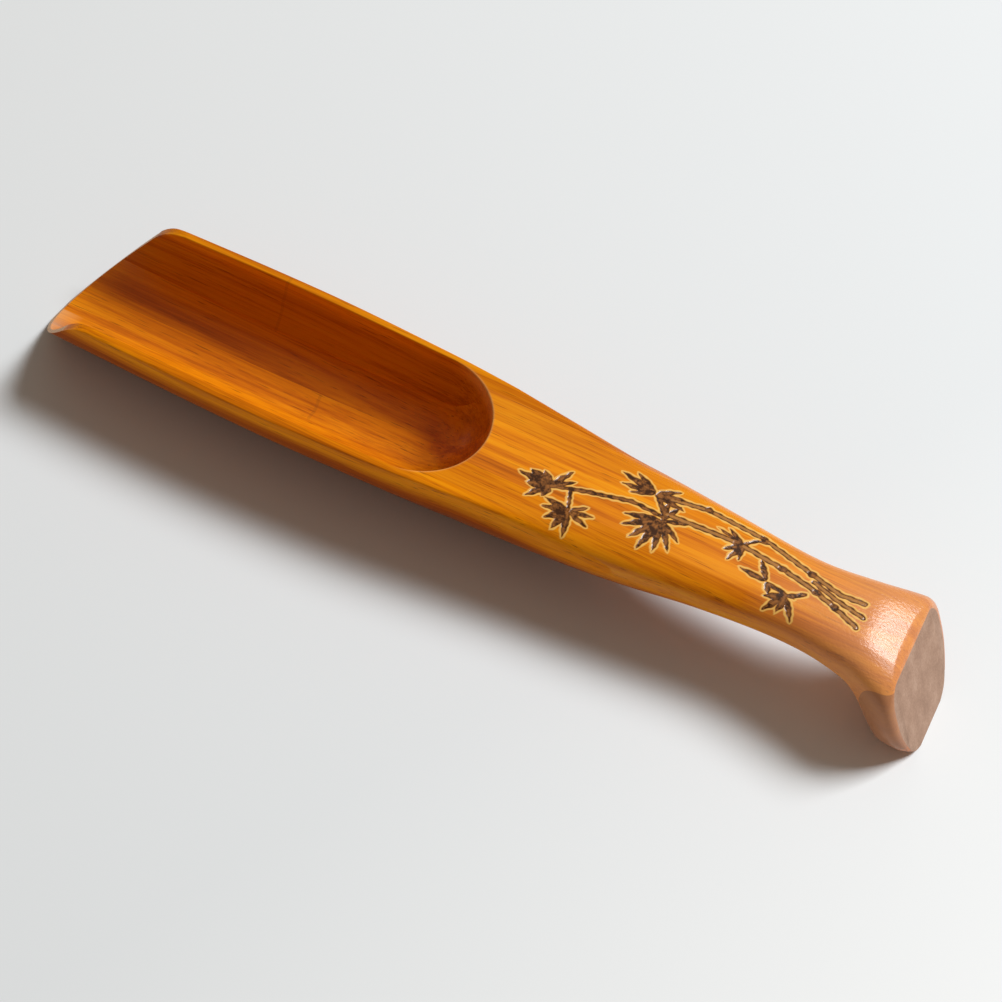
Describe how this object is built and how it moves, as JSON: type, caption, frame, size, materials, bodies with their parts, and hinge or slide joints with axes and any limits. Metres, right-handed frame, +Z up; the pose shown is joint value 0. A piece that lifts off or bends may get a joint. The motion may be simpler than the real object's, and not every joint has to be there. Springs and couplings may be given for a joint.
{
  "type": "tea scoop",
  "caption": "Bamboo tea scoop: a deep round-bottomed trough open at the lip, with a short solid handle that narrows and flares into a foot.",
  "frame": {"origin": "middle of the footprint, on the surface that the scoop lies on", "axes": "+X runs along the scoop from the lip to the foot, +Y across it to the far side of the picture, +Z up"},
  "size_m": [0.18, 0.031, 0.0224],
  "materials": {
    "lacquered_bamboo": "carbonised bamboo under a clear satin lacquer"
  },
  "bodies": {
    "root": {"near_rim_strip": "lacquered_bamboo", "near_foot_strip": "lacquered_bamboo", "near_side_strip": "lacquered_bamboo", "near_core_strip": "lacquered_bamboo", "far_core_strip": "lacquered_bamboo", "far_side_strip": "lacquered_bamboo", "far_rim_strip": "lacquered_bamboo", "far_foot_strip": "lacquered_bamboo"}
  },
  "joints": []
}
